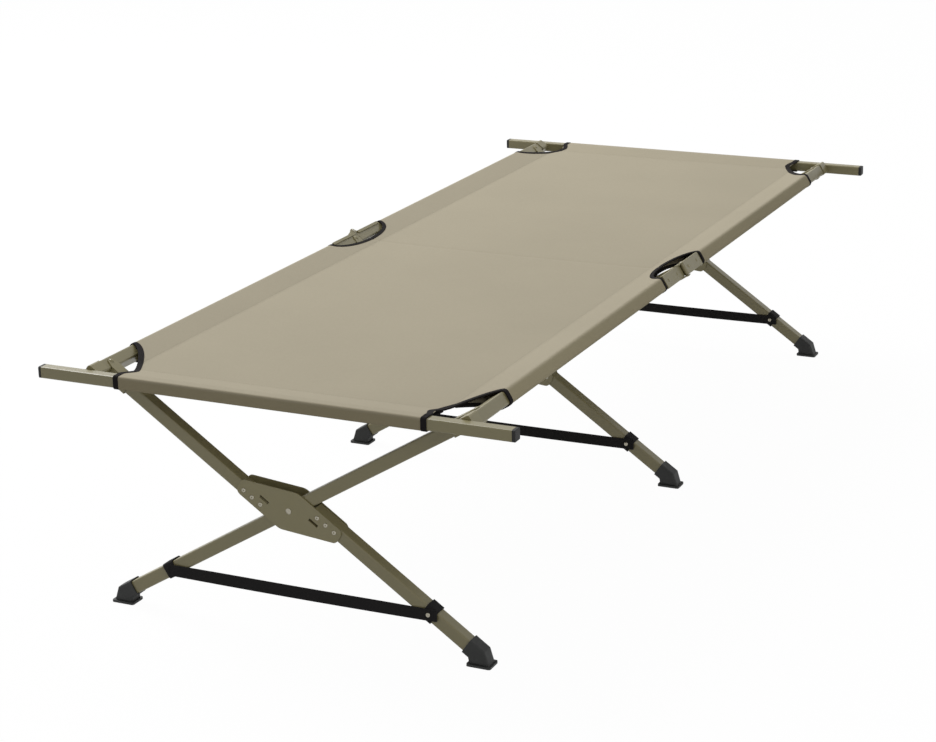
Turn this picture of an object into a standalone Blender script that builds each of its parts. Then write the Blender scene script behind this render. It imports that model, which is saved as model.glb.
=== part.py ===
"""Folding camping cot: three scissor leg sets carry two jointed side rails, two end bars and a fabric bed.

Metres, +Z up. X is the width (right is +X), Y the length (foot end at -Y), floor at Z = 0.
Every leg frame and rail frame has its own X along the leg, from the floor up to the rail.
"""
import math

import bmesh
import bpy
from mathutils import Matrix, Vector

# Overall sizes
LENGTH = 2.150            # over the two end bars
BAR_LENGTH = 0.9652       # one end bar with its two caps
BAR_TOP = 0.483           # height of the end bars' upper face
RAIL_GAUGE = 0.762        # between the centres of the two side rails

# Tube stock
TUBE = 0.0254             # rails and legs, square
TUBE_WALL = 0.0015
TUBE_CORNER = 0.003
BAR = 0.022               # end bars, square
BAR_WALL = 0.0015
BAR_CORNER = 0.0025

# Scissor legs
PIVOT_HEIGHT = 0.2438
HALF_OFFSET = 0.0298      # each half of the jogged leg lies this far off the pivot
HALF_START = 0.037        # where each half begins, measured from the pivot
END_LEG_INSET = 0.0544    # from a rail's end to the leg plane beside it
MID_LEG_Y = -0.016        # the middle leg set stands just on the near side of the rail joint
LEG_TOP_GAP = 0.0005      # between a leg's top and the rail it meets
FOOT_HEIGHT = 0.020       # centre of a leg's lower end above the floor

# Pivot plates of the jogged leg
PLATE = 0.0023
PLATE_REACH = 0.106       # half length along the leg
PLATE_NOSE = 0.014        # how far the short end comes in towards the leg's middle line
PLATE_SHOULDER = 0.004
PLATE_SHOULDER_RADIUS = 0.028
PLATE_NOSE_RADIUS = 0.010
PLATE_HEEL_RADIUS = 0.012
PLATE_RIVET_START = 0.051
PLATE_RIVET_PITCH = 0.0205
PLATE_RIVETS = 3          # in each half
TONGUE_START = 0.0395
TONGUE_LENGTH = 0.021
TONGUE_INNER = 0.0109     # tongue's face towards the crossing leg
TONGUE_DEPTH = 0.009      # how far it is bent in between the plates
SLOT_WIDTH = 0.0055       # opening left by the bent tongue

# Rivets and pins: radius of the shank, radius of the head, height of the head
RIVET = 0.0025
RIVET_SIZE = (RIVET, 0.0042, 0.0016)
PIVOT_RIVET = 0.004
PIVOT_SIZE = (PIVOT_RIVET, 0.0057, 0.002)
PIN = 0.003
PIN_SIZE = (PIN, 0.005, 0.002)

# Brackets that join a leg's top to its rail
BRACKET = 0.0016
BRACKET_LENGTH = 0.045    # grip along the leg
BRACKET_OPEN_SIDE = 0.010  # cheek width past the leg's middle, on the open side
BRACKET_EAR = 0.007
BRACKET_RIVET = 0.027     # leg rivet, measured down from the leg's top

# Rail joint in the middle
LEAF = 0.0016
LEAF_LENGTH = 0.105
LEAF_FLANGE_FROM = 0.008  # flanges start this far out from the rail's middle
RAIL_JOINT_GAP = 0.0005   # from the joint line to each tube end
HINGE_REACH = 0.0185      # pin axis, out from the rail's middle
HINGE_EAR = 0.006
KNUCKLE = 0.0055
KNUCKLE_RUN = 0.014       # where the knuckle runs out into its leaf
FAR_FLANGE_START = 0.010
LEAF_RIVETS = (0.035, 0.085)
OPEN_HINGE_PLAY = 0.0012  # more room all round the right knuckle, because that hinge is taken apart

# Rail ends
COLLAR_WALL = 0.0015
COLLAR_LENGTH = 0.032
COLLAR_PLATE = 0.003
PEG = 0.005               # radius
PEG_LENGTH = 0.017

# End caps of the bars
CAP_RIM = 0.006
CAP_PLUG = 0.014
CAP_SOFT_EDGE = 0.001

# Rubber feet
FOOT_LENGTH = 0.048
FOOT_WIDTH = 0.037
FOOT_SOLE = 0.0045
FOOT_LIP = 0.004           # the sole stands out this far round the foot's body
FOOT_WALL = 0.0025
FOOT_SOCKET = 0.029       # length of leg that the foot takes
FOOT_TOE = 0.004          # rubber past the leg's end
FOOT_FLARE = 0.014        # the flare runs out this far up the leg
FOOT_OUTSET = 0.001       # sole's middle, out from the leg's end
FOOT_RADIUS = 0.004

# Fabric
CLOTH = 0.0012            # sleeve wall
SLAB = 0.002              # bed panel with its seams
SLEEVE_LEG_GAP = 0.090    # from an end leg's plane to the end of the side sleeve
SLEEVE_MID = 0.113
END_SLEEVE_HALF = 0.316
CORNER_CUT_X = 0.075
MID_CUT_X = 0.040
HEM = 0.058               # from a rail's middle to the seam of its sleeve
END_HEM = 0.060           # from an end bar's middle to the seam of its sleeve
BED_RISE = 0.0045         # the taut bed lies this much above the middle of the tubes
BED_SPLIT = 0.0003        # between the near and the far panel

# Straps across the legs
STRAP_HEIGHT = 0.0865
STRAP_WIDTH = 0.020
STRAP = 0.0015
STRAP_RING = 0.022        # loop's width along the leg

# Clearances
FIT = 0.0003              # between touching pieces
OVERLAP = 0.001           # how far a shape runs into the one it is joined with, or a cutter past a face
SINK = 0.0002             # how deep a closed rivet's head is set into the sheet it holds

# Derived places
RAIL_X = RAIL_GAUGE / 2
RAIL_Z = BAR_TOP - BAR / 2
REACH = math.hypot(RAIL_X, RAIL_Z - PIVOT_HEIGHT)
STRAIGHT_ANGLE = math.atan2(RAIL_Z - PIVOT_HEIGHT, RAIL_X)
JOGGED_ANGLE = STRAIGHT_ANGLE + math.asin(HALF_OFFSET / REACH)
JOGGED_REACH = math.sqrt(REACH**2 - HALF_OFFSET**2)
BAR_Y = (LENGTH - BAR) / 2
BAR_INNER = LENGTH / 2 - BAR
RAIL_END = BAR_INNER - 2 * FIT - COLLAR_PLATE
END_LEG_Y = RAIL_END - END_LEG_INSET
SLEEVE_END = END_LEG_Y - SLEEVE_LEG_GAP
HALF_TUBE = TUBE / 2
STRAP_LOOP = STRAP + 2 * SINK
PLATE_FACE = HALF_TUBE + FIT
PLATE_HALF = HALF_OFFSET + HALF_TUBE
PLATE_OUTER = PLATE_FACE + PLATE
CHEEK_FACE = HALF_TUBE + FIT
CHEEK_OUTER = CHEEK_FACE + BRACKET
LEAF_FACE = HALF_TUBE + FIT
LEAF_OUTER = LEAF_FACE + LEAF
LEG_TOP = HALF_TUBE + LEG_TOP_GAP
SLEEVE_INNER = TUBE + 2 * FIT
SLEEVE_OUTER = SLEEVE_INNER + 2 * CLOTH
SLEEVE_CORNER = TUBE_CORNER + FIT + CLOTH
END_SLEEVE_INNER = BAR + 2 * FIT
END_SLEEVE_OUTER = END_SLEEVE_INNER + 2 * CLOTH
STATIONS = (("near", -END_LEG_Y), ("mid", MID_LEG_Y), ("far", END_LEG_Y))
HALVES = (("near", -1), ("far", 1))
SIDES = ("left", "right")

COLOURS = {
    "frame": ((0.150, 0.135, 0.088, 1), 0.42, 0.55),
    "rubber": ((0.012, 0.012, 0.012, 1), 0.75, 0.0),
    "plastic": ((0.015, 0.015, 0.014, 1), 0.45, 0.0),
    "bed": ((0.400, 0.360, 0.255, 1), 0.85, 0.0),
    "webbing": ((0.011, 0.011, 0.011, 1), 0.8, 0.0),
    "steel": ((0.62, 0.60, 0.56, 1), 0.3, 0.9),
}
ROUND_TO = {"X": Matrix.Rotation(math.pi / 2, 4, "Y"), "Y": Matrix.Rotation(-math.pi / 2, 4, "X"), "Z": Matrix()}


# Frames

def side_turn(side):
    """Turn about Y that lays a frame's X along the leg, up to the rail on this side."""
    angle = STRAIGHT_ANGLE if side == "right" else math.pi - JOGGED_ANGLE
    return Matrix.Rotation(-angle, 4, "Y")


def leg_frame(side, y):
    """Frame on the pivot of one leg plane. The jogged leg climbs to the left, the straight one to the right."""
    return Matrix.Translation((0, y, PIVOT_HEIGHT)) @ side_turn(side)


def rail_frame(side):
    """Frame on a rail's middle line, at the middle of the cot, tilted with the legs of that side."""
    x = RAIL_X if side == "right" else -RAIL_X
    return Matrix.Translation((x, 0, RAIL_Z)) @ side_turn(side)


def leg_at_height(side, height):
    """Distance along a leg's frame, on the lower half, where the leg's middle line has this height."""
    if side == "right":
        return (height - PIVOT_HEIGHT) / math.sin(STRAIGHT_ANGLE)
    return (height - PIVOT_HEIGHT - HALF_OFFSET * math.cos(JOGGED_ANGLE)) / math.sin(JOGGED_ANGLE)


def lower_offset(side):
    """Height of the lower half's middle line in its leg's frame."""
    return 0.0 if side == "right" else -HALF_OFFSET


# Outlines

def rounded_rect(width, height, radius, steps=2):
    """Rectangle with round corners, centred on the origin."""
    points = []
    for quarter, (sx, sy) in enumerate(((1, 1), (-1, 1), (-1, -1), (1, -1))):
        for step in range(steps + 1):
            angle = (quarter + step / steps) * math.pi / 2
            x = sx * (width / 2 - radius) + radius * math.cos(angle)
            y = sy * (height / 2 - radius) + radius * math.sin(angle)
            points.append((x, y))
    return points


def filleted(corners, steps=3):
    """Outline through corners given as (x, y, radius), each rounded by an arc."""
    points = []
    for index, (x, y, radius) in enumerate(corners):
        here = Vector((x, y))
        back = (Vector(corners[index - 1][:2]) - here).normalized()
        ahead = (Vector(corners[(index + 1) % len(corners)][:2]) - here).normalized()
        half = back.angle(ahead) / 2
        centre = here + (back + ahead).normalized() * radius / math.sin(half)
        start = (here + back * radius / math.tan(half) - centre).normalized()
        end = (here + ahead * radius / math.tan(half) - centre).normalized()
        for step in range(steps + 1):
            point = centre + start.slerp(end, step / steps) * radius
            points.append((point.x, point.y))
    return points


# Solids

def along(axis, distance, u, v):
    """Point at a distance along an axis, with u and v across it."""
    return {"X": Vector((distance, u, v)), "Y": Vector((u, distance, v)), "Z": Vector((u, v, distance))}[axis]


def add_prism(bm, outline, axis, start, end, hole=None):
    """Extrude an outline, or the band between it and a hole of as many points, along an axis."""
    rings = [[bm.verts.new(along(axis, start, u, v)) for u, v in ring] for ring in (outline, hole) if ring]
    if hole:
        edges = [bm.edges.new((ring[i - 1], ring[i])) for ring in rings for i in range(len(ring))]
        faces = bmesh.ops.bridge_loops(bm, edges=edges)["faces"]
    else:
        faces = [bm.faces.new(rings[0])]
    grown = bmesh.ops.extrude_face_region(bm, geom=faces)["geom"]
    top = [item for item in grown if isinstance(item, bmesh.types.BMVert)]
    bmesh.ops.translate(bm, verts=top, vec=along(axis, end - start, 0, 0))


def add_box(bm, low, high):
    """Box between two corners."""
    low, high = Vector(low), Vector(high)
    shape = Matrix.Translation((low + high) / 2) @ Matrix.Diagonal(high - low).to_4x4()
    bmesh.ops.create_cube(bm, size=1, matrix=shape)


def add_rod(bm, centre, axis, radius, length, segments=8):
    """Cylinder centred on a point."""
    matrix = Matrix.Translation(centre) @ ROUND_TO[axis]
    bmesh.ops.create_cone(bm, cap_ends=True, segments=segments, radius1=radius, radius2=radius, depth=length,
                          matrix=matrix)


def add_turned(bm, profile, matrix, segments=8):
    """Spin a (radius, height) profile, which starts and ends on the axis, into a closed round body."""
    turned = bmesh.new()
    rim = [turned.verts.new((radius, 0, height)) for radius, height in profile]
    edges = [turned.edges.new(pair) for pair in zip(rim, rim[1:])]
    bmesh.ops.spin(turned, geom=rim + edges, cent=(0, 0, 0), axis=(0, 0, 1), angle=math.tau, steps=segments)
    bmesh.ops.remove_doubles(turned, verts=turned.verts[:], dist=1e-6)
    bmesh.ops.transform(turned, matrix=matrix, verts=turned.verts[:])
    mesh = bpy.data.meshes.new("turned")
    turned.to_mesh(mesh)
    turned.free()
    bm.from_mesh(mesh)
    bpy.data.meshes.remove(mesh)


def head_profile(radius, head, height, seat):
    """Domed rivet head from its crown down to the shank, seated at this height."""
    crown = seat + height
    return [(0, crown), (head * 0.62, crown - height * 0.22), (head, seat + height * 0.15), (head, seat), (radius, seat)]


def add_rivet(bm, centre, axis, lower_seat, upper_seat, size=RIVET_SIZE, segments=8):
    """Rivet with a head at each end of a stack. The seats are heights along the axis, from the centre."""
    radius, head, height = size
    upper = head_profile(radius, head, height, upper_seat)
    lower = [(r, -h) for r, h in reversed(head_profile(radius, head, height, -lower_seat))]
    add_turned(bm, upper + lower, Matrix.Translation(centre) @ ROUND_TO[axis], segments)


def add_stud(bm, seat, inward, axis, size=RIVET_SIZE, segments=8):
    """Rivet with one head, seated at a point, whose shank runs inward (a signed length along the axis)."""
    radius, head, height = size
    turn = Matrix() if inward < 0 else Matrix.Rotation(math.pi, 4, "X")
    profile = head_profile(radius, head, height, 0) + [(radius, -abs(inward)), (0, -abs(inward))]
    add_turned(bm, profile, Matrix.Translation(seat) @ ROUND_TO[axis] @ turn, segments)


# Objects

for old in list(bpy.data.objects):
    bpy.data.objects.remove(old, do_unlink=True)


def make_body(name, frame, parent=None):
    """Empty on a moving body's joint axis, which carries the body's pieces."""
    empty = bpy.data.objects.new(name, None)
    bpy.context.scene.collection.objects.link(empty)
    empty.empty_display_size = 0.05
    place(empty, frame, parent)
    return empty


def place(item, frame, parent):
    """Put an object at a frame in world space and hang it on its parent."""
    item.matrix_world = frame
    if parent:
        item.parent = parent
        item.matrix_parent_inverse = parent.matrix_world.inverted()
        bpy.context.view_layer.update()


def mesh_object(name, bm, frame, body):
    """Object with this mesh, faces out, in its own frame."""
    bmesh.ops.recalc_face_normals(bm, faces=bm.faces[:])
    mesh = bpy.data.meshes.new(name)
    bm.to_mesh(mesh)
    bm.free()
    item = bpy.data.objects.new(name, mesh)
    bpy.context.scene.collection.objects.link(item)
    place(item, frame, body)
    return item


def make_piece(name, bm, kind, frame, body):
    """Sub-part with its own material and smooth round faces."""
    item = mesh_object(name, bm, frame, body)
    colour, roughness, metallic = COLOURS[kind]
    material = bpy.data.materials.new(name)
    material.use_nodes = True
    shader = material.node_tree.nodes["Principled BSDF"]
    shader.inputs["Base Color"].default_value = colour
    shader.inputs["Roughness"].default_value = roughness
    shader.inputs["Metallic"].default_value = metallic
    item.data.materials.append(material)
    item.data.shade_smooth()
    item.data.set_sharp_from_angle(angle=math.radians(32))
    return item


def combine(item, bm, operation):
    """Join a shape to a piece, or cut it out, in the piece's own frame."""
    count = len(item.modifiers)
    tool = mesh_object(f"{item.name}_{operation.lower()}_{count}", bm, item.matrix_world.copy(), item.parent)
    tool.hide_render = True
    tool.display_type = "WIRE"
    modifier = item.modifiers.new(operation.title(), "BOOLEAN")
    modifier.operation = operation
    modifier.solver = "EXACT"
    modifier.object = tool
    tool.hide_set(True)


def tube_mesh(size, wall, corner, axis, start, end, u=0.0, v=0.0):
    """Square tube with round corners, its middle line shifted by u and v."""
    bm = bmesh.new()
    outer = [(x + u, y + v) for x, y in rounded_rect(size, size, corner)]
    inner = [(x + u, y + v) for x, y in rounded_rect(size - 2 * wall, size - 2 * wall, corner - wall)]
    add_prism(bm, outer, axis, start, end, inner)
    return bm


BODIES = {}
BODIES["left_near"] = make_body("left_near", Matrix())
BODIES["right_near"] = make_body("right_near", Matrix.Translation((0, 0, PIVOT_HEIGHT)), BODIES["left_near"])
BODIES["left_far"] = make_body(
    "left_far", rail_frame("left") @ Matrix.Translation((HINGE_REACH, 0, 0)), BODIES["left_near"])
BODIES["right_far"] = make_body("right_far", Matrix.Translation((0, 0, PIVOT_HEIGHT)), BODIES["left_far"])
BODIES["foot_bar"] = make_body("foot_bar", Matrix.Translation((-RAIL_X, -BAR_Y, RAIL_Z)), BODIES["left_near"])
BODIES["head_bar"] = make_body("head_bar", Matrix.Translation((-RAIL_X, BAR_Y, RAIL_Z)), BODIES["left_far"])


def body_of(side, station):
    """Body that carries a piece on this side. The middle leg set belongs to the near half."""
    return BODIES[f"{side}_{'far' if station == 'far' else 'near'}"]


def legs_of(half):
    """Leg planes that stand on one half of the cot."""
    return [y for station, y in STATIONS if (station == "far") == (half == "far")]


# Rails, their ends and the joint between them

def make_rail(side, half, sign):
    """One rail tube, drilled for its leg pins and its hinge leaf."""
    ends = sorted((sign * RAIL_JOINT_GAP, sign * RAIL_END))
    bm = tube_mesh(TUBE, TUBE_WALL, TUBE_CORNER, "Y", *ends)
    rail = make_piece(f"rail_{side}_{half}", bm, "frame", rail_frame(side), body_of(side, half))
    holes = bmesh.new()
    for y in legs_of(half):
        add_rod(holes, (0, y, 0), "Z", PIN + FIT, 2 * TUBE)
    for distance in LEAF_RIVETS:
        add_rod(holes, (HALF_TUBE, sign * distance, 0), "X", RIVET + FIT, TUBE / 2)
    combine(rail, holes, "DIFFERENCE")


def make_rail_end(side, half, sign):
    """Collar over the rail's end. On the left its peg goes into the end bar's hole."""
    outer = SLEEVE_INNER + 2 * COLLAR_WALL
    face = BAR_INNER - FIT
    start = face - COLLAR_LENGTH
    bm = bmesh.new()
    add_prism(bm, rounded_rect(outer, outer, TUBE_CORNER + FIT + COLLAR_WALL), "Y", sign * start, sign * face)
    collar = make_piece(f"rail_end_{side}_{half}", bm, "frame", rail_frame(side), body_of(side, half))
    pocket = bmesh.new()
    mouth = rounded_rect(SLEEVE_INNER, SLEEVE_INNER, TUBE_CORNER + FIT)
    add_prism(pocket, mouth, "Y", sign * (start - OVERLAP), sign * (face - COLLAR_PLATE))
    combine(collar, pocket, "DIFFERENCE")
    if side == "left":
        peg = bmesh.new()
        low = face - COLLAR_PLATE / 2
        high = BAR_INNER + PEG_LENGTH
        add_rod(peg, (0, sign * (low + high) / 2, 0), "Y", PEG, high - low, 12)
        combine(collar, peg, "UNION")


def leaf_channel(sign, start):
    """Shallow channel over the rail's outer face, open towards the cot."""
    bm = bmesh.new()
    section = [(LEAF_FLANGE_FROM, LEAF_OUTER), (LEAF_OUTER, LEAF_OUTER), (LEAF_OUTER, -LEAF_OUTER),
               (LEAF_FLANGE_FROM, -LEAF_OUTER), (LEAF_FLANGE_FROM, -LEAF_FACE), (LEAF_FACE, -LEAF_FACE),
               (LEAF_FACE, LEAF_FACE), (LEAF_FLANGE_FROM, LEAF_FACE)]
    add_prism(bm, section, "Y", sign * start, sign * LEAF_LENGTH)
    return bm


def bore_leaf(leaf):
    """Bore a leaf for the hinge pin."""
    hole = bmesh.new()
    add_rod(hole, (HINGE_REACH, 0, 0), "Z", PIN + FIT, 2 * TUBE, 12)
    combine(leaf, hole, "DIFFERENCE")


def rivet_leaf(leaf, sign):
    """Two closed rivets that hold a leaf on its rail's outer wall."""
    rivets = bmesh.new()
    for distance in LEAF_RIVETS:
        seat = (LEAF_OUTER - SINK, sign * distance, 0)
        add_stud(rivets, seat, -(LEAF + 2 * TUBE_WALL), "X")
    combine(leaf, rivets, "UNION")


def hinge_play(side):
    """Extra room round the knuckle of this side's hinge."""
    return OPEN_HINGE_PLAY if side == "right" else 0


def make_near_leaf(side):
    """Leaf with the two round ears that hold the hinge pin."""
    play = hinge_play(side)
    clear = KNUCKLE + 2 * FIT + play
    leaf = make_piece(f"hinge_leaf_{side}_near", leaf_channel(-1, clear), "frame", rail_frame(side),
                      body_of(side, "near"))
    root = -4 * HINGE_EAR
    far = HINGE_REACH + HINGE_EAR
    ear = filleted([(LEAF_FLANGE_FROM, root, OVERLAP), (LEAF_FLANGE_FROM, -HINGE_EAR, OVERLAP),
                    (HINGE_REACH - HINGE_EAR, HINGE_EAR, HINGE_EAR / 2), (far, HINGE_EAR, HINGE_EAR * 0.9),
                    (far, -HINGE_EAR, HINGE_EAR * 0.9), (LEAF_OUTER, root, OVERLAP)])
    for up in (1, -1):
        plate = bmesh.new()
        add_prism(plate, ear, "Z", up * (LEAF_FACE + play), up * (LEAF_OUTER + play))
        combine(leaf, plate, "UNION")
    if side == "left":
        bore_leaf(leaf)
        pin = bmesh.new()
        add_rivet(pin, (HINGE_REACH, 0, 0), "Z", -LEAF_OUTER - FIT, LEAF_OUTER + FIT, PIN_SIZE)
        make_piece("hinge_pin_left", pin, "steel", rail_frame(side), body_of(side, "near"))
    else:
        stubs = bmesh.new()
        for up in (1, -1):
            seat = (HINGE_REACH, 0, up * (LEAF_OUTER + play - SINK))
            add_stud(stubs, seat, -up * (LEAF - SINK - FIT), "Z", PIN_SIZE)
        combine(leaf, stubs, "UNION")
    rivet_leaf(leaf, -1)


def make_far_leaf(side):
    """Leaf whose knuckle turns on the pin, between the two ears."""
    leaf = make_piece(f"hinge_leaf_{side}_far", leaf_channel(1, FAR_FLANGE_START), "frame", rail_frame(side),
                      body_of(side, "far"))
    radius = KNUCKLE - hinge_play(side)
    near = HINGE_REACH - radius
    far = HINGE_REACH + radius
    nearly_round = radius * 0.98
    knuckle = filleted([(near, -radius, nearly_round), (far, -radius, nearly_round), (far, radius, nearly_round),
                        (LEAF_OUTER, KNUCKLE_RUN, OVERLAP), (LEAF_FACE, KNUCKLE_RUN, OVERLAP / 4)])
    body = bmesh.new()
    add_prism(body, knuckle, "Z", -HALF_TUBE, HALF_TUBE)
    combine(leaf, body, "UNION")
    bore_leaf(leaf)
    rivet_leaf(leaf, 1)


# Scissor legs

def leg_tube(name, side, station, y, start, end, offset, holes):
    """One straight length of leg tube with its through holes, given as (distance, radius, axis)."""
    bm = tube_mesh(TUBE, TUBE_WALL, TUBE_CORNER, "X", start, end, 0, offset)
    leg = make_piece(name, bm, "frame", leg_frame(side, y), body_of(side, station))
    cutters = bmesh.new()
    for distance, radius, axis in holes:
        segments = 12 if radius > PIVOT_RIVET else 8
        add_rod(cutters, (distance, 0, offset), axis, radius + FIT, 2 * TUBE, segments)
    combine(leg, cutters, "DIFFERENCE")
    return leg


def plate_rivet_places():
    """Distances of one half's plate rivets from the pivot."""
    return [PLATE_RIVET_START + k * PLATE_RIVET_PITCH for k in range(PLATE_RIVETS)]


def make_legs(station, y):
    """Jogged leg in two halves, which climbs to the left, and the straight leg, which climbs to the right."""
    top = JOGGED_REACH - LEG_TOP
    places = plate_rivet_places()
    upper_holes = [(place, RIVET, "Y") for place in places] + [(top - BRACKET_RIVET, RIVET, "Z")]
    leg_tube(f"leg_a_upper_{station}", "left", station, y, HALF_START, top, HALF_OFFSET, upper_holes)
    foot = leg_at_height("left", FOOT_HEIGHT)
    lower = leg_tube(f"leg_a_lower_{station}", "left", station, y, foot, -HALF_START, -HALF_OFFSET,
                     [(-place, RIVET, "Y") for place in places])
    strap_rivet = bmesh.new()
    seat = (leg_at_height("left", STRAP_HEIGHT), -(HALF_TUBE + 2 * FIT + STRAP_LOOP), -HALF_OFFSET)
    add_stud(strap_rivet, seat, STRAP_LOOP + 2 * FIT + 2 * TUBE_WALL, "Y")
    combine(lower, strap_rivet, "UNION")
    top = REACH - LEG_TOP
    foot = leg_at_height("right", FOOT_HEIGHT)
    leg_tube(f"leg_b_{station}", "right", station, y, foot, top, 0.0,
             [(0, PIVOT_RIVET + FIT / 2, "Y"), (top - BRACKET_RIVET, RIVET, "Z")])


def plate_outline():
    """Six-sided pivot plate, the same when turned by half a turn. Its long edges are flush with the leg halves."""
    half = [(PLATE_REACH, PLATE_HALF, PLATE_HEEL_RADIUS), (PLATE_REACH, PLATE_NOSE, PLATE_NOSE_RADIUS),
            (PLATE_SHOULDER, -PLATE_HALF, PLATE_SHOULDER_RADIUS)]
    return filleted(half + [(-x, -z, radius) for x, z, radius in half], 4)


def make_plate(station, y, front):
    """Pivot plate on one face of the legs, with lanced tongues bent in beside the leg halves."""
    sign = -1 if front else 1
    bm = bmesh.new()
    outline = plate_outline()
    add_prism(bm, outline, "Y", sign * PLATE_FACE, sign * PLATE_OUTER)
    name = f"plate_{'front' if front else 'rear'}_{station}"
    plate = make_piece(name, bm, "frame", leg_frame("left", y), body_of("left", station))
    tongues = bmesh.new()
    holes = bmesh.new()
    rivets = bmesh.new()
    outer = TONGUE_INNER + PLATE
    for half in (1, -1):
        ends = sorted((half * TONGUE_START, half * (TONGUE_START + TONGUE_LENGTH)))
        deep = sorted((sign * (PLATE_FACE - TONGUE_DEPTH), sign * (PLATE_OUTER - PLATE / 2)))
        across = sorted((half * TONGUE_INNER, half * outer))
        add_box(tongues, (ends[0], deep[0], across[0]), (ends[1], deep[1], across[1]))
        slot = sorted((half * outer, half * (outer + SLOT_WIDTH)))
        through = sorted((sign * (PLATE_FACE - OVERLAP), sign * (PLATE_OUTER + OVERLAP)))
        add_box(holes, (ends[0], through[0], slot[0]), (ends[1], through[1], slot[1]))
        for place in plate_rivet_places():
            x, z = half * place, half * HALF_OFFSET
            if front:
                add_rivet(rivets, (x, 0, z), "Y", SINK - PLATE_OUTER, PLATE_OUTER + FIT)
            else:
                add_rod(holes, (x, PLATE_FACE, z), "Y", RIVET + FIT, TUBE / 2)
    add_rod(holes, (0, sign * PLATE_FACE, 0), "Y", PIVOT_RIVET + FIT, TUBE / 2, 12)
    combine(plate, tongues, "UNION")
    combine(plate, holes, "DIFFERENCE")
    if front:
        combine(plate, rivets, "UNION")
    else:
        rivets.free()


def make_pivot_rivet(station, y):
    """Main pivot rivet through both plates and the straight leg."""
    bm = bmesh.new()
    add_rivet(bm, (0, 0, 0), "Y", -PLATE_OUTER - FIT, PLATE_OUTER + FIT, PIVOT_SIZE, 12)
    make_piece(f"pivot_rivet_{station}", bm, "steel", leg_frame("left", y), body_of("left", station))


# Leg-top brackets

def bracket_outline():
    """Cheek of a leg-top bracket, seen along the pin: it grips the leg and ends in a round ear."""
    foot = -(LEG_TOP + BRACKET_LENGTH)
    neck = -LEG_TOP + LEG_TOP_GAP
    return filleted([(foot, -CHEEK_OUTER, OVERLAP), (neck, -CHEEK_OUTER, 3 * OVERLAP),
                     (BRACKET_EAR, -BRACKET_EAR, BRACKET_EAR * 0.9), (BRACKET_EAR, BRACKET_EAR, BRACKET_EAR * 0.9),
                     (neck, BRACKET_OPEN_SIDE, 3 * OVERLAP), (foot, BRACKET_OPEN_SIDE, OVERLAP)], 2)


def make_bracket(side, station, y):
    """Folded bracket on a leg's top: a web along the leg, two cheeks over the rail, a pin and a rivet."""
    frame = rail_frame(side) @ Matrix.Translation((0, y, 0))
    foot = -(LEG_TOP + BRACKET_LENGTH)
    web = bmesh.new()
    add_box(web, (foot + OVERLAP, -CHEEK_OUTER, -CHEEK_OUTER), (-LEG_TOP, -CHEEK_FACE, CHEEK_OUTER))
    bracket = make_piece(f"leg_bracket_{side}_{station}", web, "frame", frame, body_of(side, station))
    for face in (CHEEK_FACE, -CHEEK_OUTER):
        cheek = bmesh.new()
        add_prism(cheek, bracket_outline(), "Z", face, face + BRACKET)
        combine(bracket, cheek, "UNION")
    seat = CHEEK_OUTER - SINK
    rods = bmesh.new()
    add_rivet(rods, (0, 0, 0), "Z", -seat, seat, PIN_SIZE)
    add_rivet(rods, (-(LEG_TOP + BRACKET_RIVET), 0, 0), "Z", -seat, seat)
    combine(bracket, rods, "UNION")


# Feet

def make_foot(side, station, y):
    """Rubber foot: a flat sole with a lip, and a body that flares up into a square socket round the leg's end."""
    frame = leg_frame(side, y)
    end = leg_at_height(side, FOOT_HEIGHT)
    offset = lower_offset(side)
    tip = frame @ Vector((end, 0, offset))
    outward = math.copysign(FOOT_OUTSET, tip.x)
    home = Matrix.Translation((tip.x + outward, y, 0))
    to_home = home.inverted() @ frame
    size = SLEEVE_INNER + 2 * FOOT_WALL
    collar = [(v, w + offset) for v, w in rounded_rect(size, size, FOOT_RADIUS)]
    sole = bmesh.new()
    add_prism(sole, rounded_rect(FOOT_LENGTH, FOOT_WIDTH, FOOT_RADIUS), "Z", 0, FOOT_SOLE)
    letter = "a" if side == "left" else "b"
    foot = make_piece(f"foot_{letter}_{station}", sole, "rubber", home, body_of(side, station))
    flare = bmesh.new()
    for x, across in rounded_rect(FOOT_LENGTH - 2 * FOOT_LIP, FOOT_WIDTH - 2 * FOOT_LIP, FOOT_RADIUS):
        flare.verts.new((x, across, FOOT_SOLE - OVERLAP))
    for distance in (end - FOOT_TOE, end + FOOT_FLARE):
        for v, w in collar:
            flare.verts.new(to_home @ Vector((distance, v, w)))
    hull = bmesh.ops.convex_hull(flare, input=flare.verts[:])
    spare = {item for key in ("geom_interior", "geom_unused") for item in hull[key]}
    bmesh.ops.delete(flare, geom=[v for v in spare if isinstance(v, bmesh.types.BMVert)], context="VERTS")
    combine(foot, flare, "UNION")
    socket = bmesh.new()
    add_prism(socket, collar, "X", end + OVERLAP, end + FOOT_SOCKET)
    bmesh.ops.transform(socket, matrix=to_home, verts=socket.verts[:])
    combine(foot, socket, "UNION")
    pocket = bmesh.new()
    hollow = [(v, w + offset) for v, w in rounded_rect(SLEEVE_INNER, SLEEVE_INNER, TUBE_CORNER + FIT)]
    add_prism(pocket, hollow, "X", end - FIT, end + FOOT_SOCKET + OVERLAP)
    bmesh.ops.transform(pocket, matrix=to_home, verts=pocket.verts[:])
    combine(foot, pocket, "DIFFERENCE")


# End bars

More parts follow.
